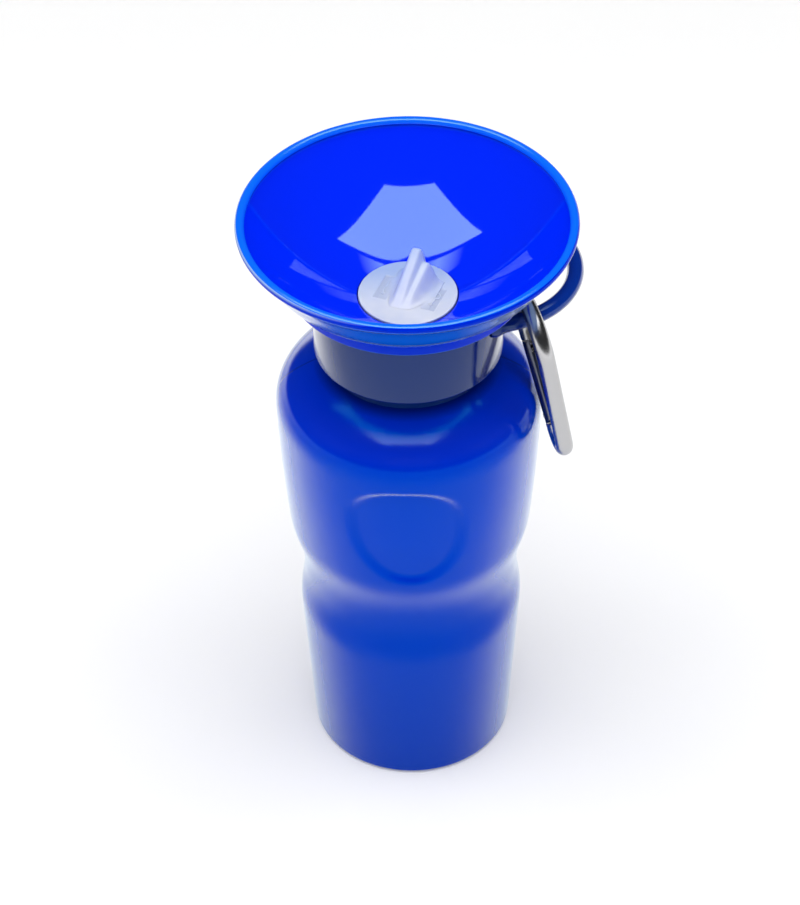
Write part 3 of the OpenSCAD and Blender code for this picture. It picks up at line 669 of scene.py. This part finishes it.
def dialDisc(s):
    # rings from the centre out, over the rounded edge and back under; two panels are sunk in the top
    edge, steps = s["edge"], s["steps"]
    flat = np.stack([np.linspace(0, s["r"] - edge, s["rings"]), np.full(s["rings"], s["top"])], 1)
    side = arc(s["r"] - edge, s["top"] - edge, edge, 90, 0, 8)[1:]
    under = [[s["r"], s["low"] + s["underEdge"]], [s["r"] - s["underEdge"], s["low"]], [0, s["low"]]]
    section = np.concatenate([flat, side, under])
    a = np.arange(steps) * tau / steps
    r, z = section[:, :1], section[:, 1:]
    x, y, z = r * np.cos(a), r * np.sin(a), z + 0 * a
    start, run = s["panelEdge"]
    dip = lambda d, half: 1 - np.clip((np.abs(d) - half + start) / run, 0, 1)
    sunk = sum(dip(x - px, w / 2) * dip(y - py, h / 2) for px, py, w, h in s["panels"])
    sunk *= (z > s["top"] - 0.01) & (r < s["r"] - s["flatEdge"])  # on the flat face, clear of its edge
    points = np.stack([x, y, z - s["panelDepth"] * sunk], -1).reshape(-1, 3)
    return points, outward(points, gridFaces(len(section), steps, closeRows=True))


def ridgeHeight(across, along, ridge, s):
    # a straight crest from back to front; its height is divided by 1 + (distance / half width) to a
    # power, and it drops off steeply, as a circle's quarter, behind its back end
    (backX, backY), (frontX, frontY), top, half, power = ridge
    t = np.clip((backY - along) / (backY - frontY), 0, 1)
    crest = top * (1 - t) ** s["crestPower"]
    behind = np.clip((along - backY) / s["crestRound"], 0, 1)
    drop = s["crestRound"] * (1 - np.sqrt(1 - behind ** 2)) + s["backDrop"] * behind ** s["backPower"]
    drop = np.where(behind < 1, drop, np.inf)
    wide = half * (s["wideBack"] - s["wideLess"] * t)
    away = np.abs((across - between(backX, frontX, t)) / wide)
    return np.maximum(crest - drop, 0) / (1 + away ** power)


def dialFin(s):
    # height over a fine grid, on a flat underside; the ridges are joined by the cube root of the sum of
    # their heights' cubes
    across, along = np.meshgrid(np.linspace(*s["finAcross"]), np.linspace(*s["finAlong"]))
    lift = sum(ridgeHeight(across, along, r, s) ** 3 for r in s["ridges"]) ** (1 / 3)
    level = s["top"] - s["finSink"]
    z = level + np.maximum(lift * s["finGain"] + s["finSink"] - s["finBase"], 0)
    top = np.stack([across, along, z], -1)
    rows, cols = across.shape
    base = top.copy()
    base[..., 2] = level - s["finBase"]
    points = np.concatenate([top.reshape(-1, 3), base.reshape(-1, 3)])
    upper = gridFaces(rows, cols, closeCols=False)
    lower = upper[:, ::-1] + rows * cols
    index = np.arange(rows * cols).reshape(rows, cols)
    rim = np.concatenate([index[0], index[1:, -1], index[-1, -2::-1], index[-2:0:-1, 0]])
    after = np.roll(rim, -1)
    wall = np.stack([after, rim, rim + rows * cols, after + rows * cols], 1)
    return points, outward(points, np.concatenate([upper, lower, wall]))


def bump(s, path, half, z):
    # a raised line: a round section carried along a path on the dial, pressed to the marks' height
    radius = np.r_[0, np.full(len(path) - 2, half), 0]
    points, faces = tube(np.column_stack([path, np.full(len(path), z)]), radius, s["markSteps"])
    points[:, 2] = z + (points[:, 2] - z) * s["markH"] / half
    return points, faces


def dialMarks(s):
    # a ring for shut on the right panel, a bar for open on the left, and a bent arrow beside each
    floor = s["top"] - s["panelDepth"]
    (leftX, leftY, _, _), (rightX, rightY, _, _) = s["panels"]
    ring = arc(rightX, rightY + s["ringUp"], s["ringR"], 0, 360, 40)
    barY = leftY + s["barUp"] + np.linspace(-s["barHalf"], s["barHalf"], 12)
    bar = np.stack([np.full(12, leftX), barY], 1)
    shells = [bump(s, ring, s["ringLine"], floor), bump(s, bar, s["barLine"], floor)]
    long, wide = s["barb"]
    for side, x in ((-1, leftX), (1, rightX)):
        # the arrow bends along a circle round the dial's centre, its point towards the front
        sweep, r = np.linspace(*s["arrowSweep"], 16), s["arrowR"]
        bend = np.stack([x + side * r * (np.cos(sweep) - s["arrowIn"]), r * np.sin(sweep)], 1)
        shells.append(bump(s, bend, s["arrowLine"], floor))
        tip, way = bend[-1], bend[-1] - bend[-3]
        way = way / np.hypot(*way)
        square = np.array([-way[1], way[0]])
        for w in (-1, 1):
            barb = np.linspace(0, 1, 6)[:, None] * (w * wide * square - long * way) + tip
            shells.append(bump(s, barb, s["arrowLine"], floor))
    return shells


def dialShells(s):
    top = [dialDisc(s), dialFin(s)] + dialMarks(s)
    top = [(spin(points, s["turn"]), faces) for points, faces in top]
    r, groove, end, stemTop = s["stemR"], s["grooveR"], s["stemEnd"], s["low"] + s["stemTop"]
    stem = np.array([
        [0, end], [r - s["stemIn"], end], [r, end + s["stemUp"]],
        [r, s["clipLow"]], [groove, s["clipLow"]], [groove, s["clipTop"]], [r, s["clipTop"]],
        [r, stemTop], [0, stemTop],
    ])
    ridges = [threadRidge(r, s["thread"], start=180.0 * i) for i in range(2)]
    return top + [turned(stem, s["stemSteps"])] + ridges


makePiece("dialWithFin", dialShells(dial), "dial", ["dial"], dialWhite, sharpDeg=45)
print("dial made")


carabiner = {
    "hang": (39.9029, -10.1009, 192.244), "swing": -15.0, "lean": 10.0, "face": 15.0,
    "rodR": 2.9, "rodSteps": 48, "wideR": 13.5, "wideZ": -7.45, "narrowR": 5.2, "narrowZ": -44.45,
    "taper": 12.9631, "run": 36.057, "pivotUp": 5.5, "gateLong": 27.057, "latchUp": 25.057,
    # the rod's two ends, their flat face and rounded edge, and the points on the way to the bends
    "stubLow": 2.6, "stubTop": 32.757, "endFlat": 0.02, "endRun": 0.35, "endEdge": 0.3,
    "stubMore": (1.6, 0.8), "noseMore": (1.0, 2.0),
    # the tang's ends are counted from the pivot, the hook's lower end from the latch and its upper end
    # from the gate's; tangHalf and hookHalf are half the plates' thickness
    "tangWide": 2.5, "tangTip": 1.7, "tangBelow": 3.4, "tangStraight": 1.2, "tangAbove": 2.0,
    "tangHalf": 1.0,
    "hookWide": 1.9, "hookBelow": 1.8, "hookAbove": 0.5, "hookHalf": 0.7, "notchR": 0.75,
}


def carabinerFrame(s):
    # columns: the snap hook's own axes in the row frame
    x, y, z = (math.radians(v) for v in (s["swing"], -s["lean"], s["face"]))
    rx = np.array([[1, 0, 0], [0, math.cos(x), -math.sin(x)], [0, math.sin(x), math.cos(x)]])
    ry = np.array([[math.cos(y), 0, math.sin(y)], [0, 1, 0], [-math.sin(y), 0, math.cos(y)]])
    rz = np.array([[math.cos(z), -math.sin(z), 0], [math.sin(z), math.cos(z), 0], [0, 0, 1]])
    return rz @ ry @ rx


def inPlane(s, yz, x=0.0):
    # points (y, z) of the hook's own plane, x off it, in the row frame
    local = np.column_stack([np.full(len(yz), x), yz])
    return np.array(s["hang"]) + local @ carabinerFrame(s).T


def gateLine(s, up, out=0.0):
    # a point on the gate's side, up along it from the lower bend and out square to it
    t = math.radians(s["taper"])
    start = np.array([s["narrowR"] * math.cos(t), s["narrowZ"] - s["narrowR"] * math.sin(t)])
    up, out = np.atleast_1d(up)[:, None], np.atleast_1d(out)[:, None]
    along, square = np.array([math.sin(t), math.cos(t)]), np.array([math.cos(t), -math.sin(t)])
    return start + up * along + out * square


def plate(s, outline, half):
    # a flat outline on the gate's line, thickened to both sides
    yz = gateLine(s, outline[:, 1], outline[:, 0])
    n = len(yz)
    points = np.concatenate([inPlane(s, yz, -half), inPlane(s, yz, half)])
    i = np.arange(n)
    sides = np.stack([i, (i + 1) % n, (i + 1) % n + n, i + n], 1)
    return points, sides.tolist() + [list(range(n))[::-1], list(range(n, 2 * n))]


def rodPath(s):
    # up the stub, round the lower bend, up the front leg, over the wide bend and down to the nose
    t, low, top = s["taper"], s["stubLow"], s["stubTop"]
    stub = gateLine(s, np.array([low, low - s["endFlat"], low - s["endRun"], *s["stubMore"]]))
    lower = arc(0, s["narrowZ"], s["narrowR"], -t, -180 + t, 30)
    upper = arc(0, s["wideZ"], s["wideR"], 180 + t, -t, 72)
    leg = between(lower[-1], upper[0], np.linspace(0, 1, 24)[1:-1, None])
    onWay = [s["run"] - v for v in s["noseMore"]]
    nose = gateLine(s, np.array([*onWay, top + s["endRun"], top + s["endFlat"], top]))
    path = np.concatenate([stub, lower, leg, upper, nose])
    radius = np.full(len(path), s["rodR"])
    radius[[0, -1]] = 0
    radius[[1, -2]] = s["rodR"] - s["endEdge"]
    return path, radius


def carabinerShells(s):
    path, radius = rodPath(s)
    rod = tube(inPlane(s, path), radius, s["rodSteps"], up=carabinerFrame(s)[:, 0])
    pivot, wide, tip = s["pivotUp"], s["tangWide"], s["tangTip"]
    low, straight, top = pivot - s["tangBelow"], pivot + s["tangStraight"], pivot + s["tangAbove"]
    tang = np.array([[-wide, low], [wide, low], [wide, straight],
                     [tip, top], [-tip, top], [-wide, straight]])
    latch, wide, notchR = pivot + s["latchUp"], s["hookWide"], s["notchR"]
    low, top = latch - s["hookBelow"], pivot + s["gateLong"] + s["hookAbove"]
    corners = [[-wide, low], [wide, low], [wide, top], [-wide, top], [-wide, latch + notchR]]
    notch = arc(0, latch, notchR, 90, -90, 9)
    hook = np.concatenate([corners, notch, [[-wide, latch - notchR]]])
    return [rod, plate(s, tang, s["tangHalf"]), plate(s, hook, s["hookHalf"])]


makePiece("carabinerRod", carabinerShells(carabiner), "carabiner", ["carabiner_body"],
          metalSatin)
smoothCopy("carabiner_gate", "carabinerGate", "gate", gateSteel)
smoothCopy("gate_pivot_pin", "pivotRivet", "carabiner", steelPin)
smoothCopy("latch_pin", "latchCrossPin", "gate", steelPin)
print("carabiner made")

keptFinish = {
    "bottle_gasket": sealPale, "chamber_seal": sealPale, "dial_seal": sealPale,
    "valve_chamber": innerWhite, "dip_tube": innerWhite,
    "stem_clip": steelPin, "gate_plunger": steelPin, "gate_spring": steelPin,
}
for node, material in keptFinish.items():
    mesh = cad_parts[node].data
    mesh.materials.clear()
    mesh.materials.append(material)
print("inner parts finished")


studio = {
    "floor": 3.0, "floorZ": -0.0002, "grey": 0.9,
    "farGlow": (0.6, 1.3, 0.12, 1.05),  # distances from the middle, and the glow at each
    "ambient": 0.42, "ceiling": 0.02, "horizon": (-0.05, 0.0),
}
rangeLabels = ("From Min", "From Max", "To Min", "To Max")


def keepWhite(n, link):
    # 1 where a ray comes from the camera, a reflection or a clear material
    ray = n.new("ShaderNodeLightPath").outputs
    seen = mathNode(n, link, "ADD", ray["Is Camera Ray"], ray["Is Glossy Ray"], clamp=True)
    return mathNode(n, link, "ADD", seen, ray["Is Transmission Ray"], clamp=True)


def makeWorld(s):
    # white to the eye; reflections find it white at the horizon, where the backdrop would hang, and dim
    # overhead; what it lights gets a plain soft light
    world = bpy.data.worlds.new("paleStudio")
    bpy.context.scene.world = world
    world.use_nodes = True
    n, link = world.node_tree.nodes, world.node_tree.links.new
    back, overhead = n["Background"], n.new("ShaderNodeMapRange")
    ray = n.new("ShaderNodeLightPath").outputs
    setSockets(back, {"Color": (1, 1, 1, 1)})
    setSockets(overhead, dict(zip(rangeLabels, (*s["horizon"], 1.0, s["ceiling"]))))
    link(axisOf(n, link, "Generated", "Z"), overhead.inputs["Value"])
    level = s["ambient"]
    mirrored = overhead.outputs["Result"]
    targets = {"Is Glossy Ray": mirrored, "Is Transmission Ray": 1.0, "Is Camera Ray": 1.0}
    for label, target in targets.items():
        pick = n.new("ShaderNodeMix")
        link(ray[label], pick.inputs["Factor"])
        feed(link, pick.inputs["A"], level)
        feed(link, pick.inputs["B"], target)
        level = pick.outputs["Result"]
    link(level, back.inputs["Strength"])


def makeFloor(s):
    h, z = s["floor"], s["floorZ"]
    mesh = bpy.data.meshes.new("paleFloor")
    mesh.from_pydata([(-h, -h, z), (h, -h, z), (h, h, z), (-h, h, z)], [], [(0, 1, 2, 3)])
    floor = bpy.data.objects.new("paleFloor", mesh)
    bpy.context.scene.collection.objects.link(floor)
    mat = bpy.data.materials.new("paleFloor")
    mat.use_nodes = True
    n, link = mat.node_tree.nodes, mat.node_tree.links.new
    shader = n["Principled BSDF"]
    setSockets(shader, {
        "Base Color": (s["grey"], s["grey"], s["grey"], 1), "Roughness": 1.0,
        "Specular IOR Level": 0.0, "Emission Color": (1, 1, 1, 1),
    })
    # far from the lamps the floor glows by itself, so that it stays white to the horizon
    place, far = n.new("ShaderNodeTexCoord"), n.new("ShaderNodeMapRange")
    reach = n.new("ShaderNodeVectorMath")
    reach.operation = "LENGTH"
    setSockets(far, dict(zip(rangeLabels, s["farGlow"])))
    link(place.outputs["Object"], reach.inputs[0])
    link(reach.outputs["Value"], far.inputs["Value"])
    glow = mathNode(n, link, "MULTIPLY", keepWhite(n, link), far.outputs["Result"])
    link(glow, shader.inputs["Emission Strength"])
    mesh.materials.append(mat)


panel = {
    "place": (-0.04, -0.015, 1.30), "wide": 2.1, "deep": 1.12, "watts": 27.0,
    "frontHalf": 0.33, "spread": 0.79, "back": 0.60, "notch": 0.28,
    "gap": 0.05, "spotX": 0.42, "spotHalf": 0.34, "spotLevel": 0.9,
}
fills = {
    # name: place, aim, side, watts
    "frontFill": ((0.0, -1.6, 0.6), (0.0, 0.0, 0.1), 1.2, 5.0),
    "leftFill": ((-1.4, -0.5, 0.6), (0.0, 0.0, 0.1), 1.0, 3.0),
    "rightFill": ((1.4, -0.5, 0.6), (0.0, 0.0, 0.1), 1.0, 3.0),
}


def addLamp(name, place, wide, deep, watts):
    lamp = bpy.data.lights.new(name, "AREA")
    lamp.shape, lamp.size, lamp.size_y, lamp.energy = "RECTANGLE", wide, deep, watts
    holder = bpy.data.objects.new(name, lamp)
    holder.location = place
    bpy.context.scene.collection.objects.link(holder)
    return holder


def makePanel(s):
    # an overhead soft panel, narrow in front and wide behind, with a shallow notch in its back edge:
    # it shines where |x| < frontHalf + spread * y and y < back + notch * |x|, y counted from its front
    # edge, and two softer spots stand behind it, past a dark gap
    lamp = addLamp("overheadPanel", s["place"], s["wide"], s["deep"], s["watts"]).data
    lamp.use_nodes = True
    n, link = lamp.node_tree.nodes, lamp.node_tree.links.new
    calc = lambda kind, *values: mathNode(n, link, kind, *values)
    where, split = n.new("ShaderNodeNewGeometry"), n.new("ShaderNodeSeparateXYZ")
    link(where.outputs["Parametric"], split.inputs[0])
    x = calc("ABSOLUTE", calc("MULTIPLY_ADD", split.outputs["X"], s["wide"], -s["wide"] / 2))
    y = calc("MULTIPLY", split.outputs["Y"], s["deep"])
    side = calc("LESS_THAN", x, calc("MULTIPLY_ADD", y, s["spread"], s["frontHalf"]))
    edge = calc("MULTIPLY_ADD", x, s["notch"], s["back"])
    main = calc("MULTIPLY", side, calc("LESS_THAN", y, edge))
    past = calc("GREATER_THAN", calc("SUBTRACT", y, edge), s["gap"])
    away = calc("ABSOLUTE", calc("SUBTRACT", x, s["spotX"]))
    level = s["spotLevel"]
    spot = calc("MAXIMUM", calc("MULTIPLY_ADD", away, -level / s["spotHalf"], level), 0.0)
    link(calc("MULTIPLY_ADD", past, spot, main), n["Emission"].inputs["Strength"])


def makeFills(table):
    # soft fills that light the sides but don't show in the gloss
    for name, (place, aim, side, watts) in table.items():
        holder = addLamp(name, place, side, side, watts)
        away = (np.array(place) - np.array(aim)).tolist()
        holder.rotation_euler = Vector(away).to_track_quat("Z", "Y").to_euler()
        holder.visible_glossy = False


camera = {
    # place in millimetres, angles in radians, and the focal length and shift in the photograph's pixels
    "x": -2.9537, "y": -843.8646, "z": 888.8996, "pitch": 0.7362511, "roll": -0.01328762,
    "focal": 3307.141, "tall": 905, "shiftX": -1.0, "sensor": 36, "farthest": 50,
}


def makeCamera(s):
    lens = bpy.data.cameras.new("photoCamera")
    lens.sensor_width = s["sensor"]
    lens.lens = s["focal"] * s["sensor"] / s["tall"]
    lens.shift_x = s["shiftX"] / s["tall"]
    lens.clip_end = s["farthest"]
    holder = bpy.data.objects.new("photoCamera", lens)
    c, q = math.cos(s["pitch"]), math.sin(s["pitch"])
    view, up, right = np.array([0, c, -q]), np.array([0, q, c]), np.array([1.0, 0, 0])
    cr, sr = math.cos(s["roll"]), math.sin(s["roll"])
    pose = np.eye(4)
    pose[:3, 0], pose[:3, 1], pose[:3, 2] = cr * right + sr * up, cr * up - sr * right, -view
    pose[:3, 3] = np.array([s["x"], s["y"], s["z"]]) * mm
    holder.matrix_world = Matrix(pose.tolist())
    bpy.context.scene.collection.objects.link(holder)
    bpy.context.scene.camera = holder


makeWorld(studio)
makeFloor(studio)
makePanel(panel)
makeFills(fills)
makeCamera(camera)
bpy.context.scene.view_settings.view_transform = "Standard"
print("studio ready")
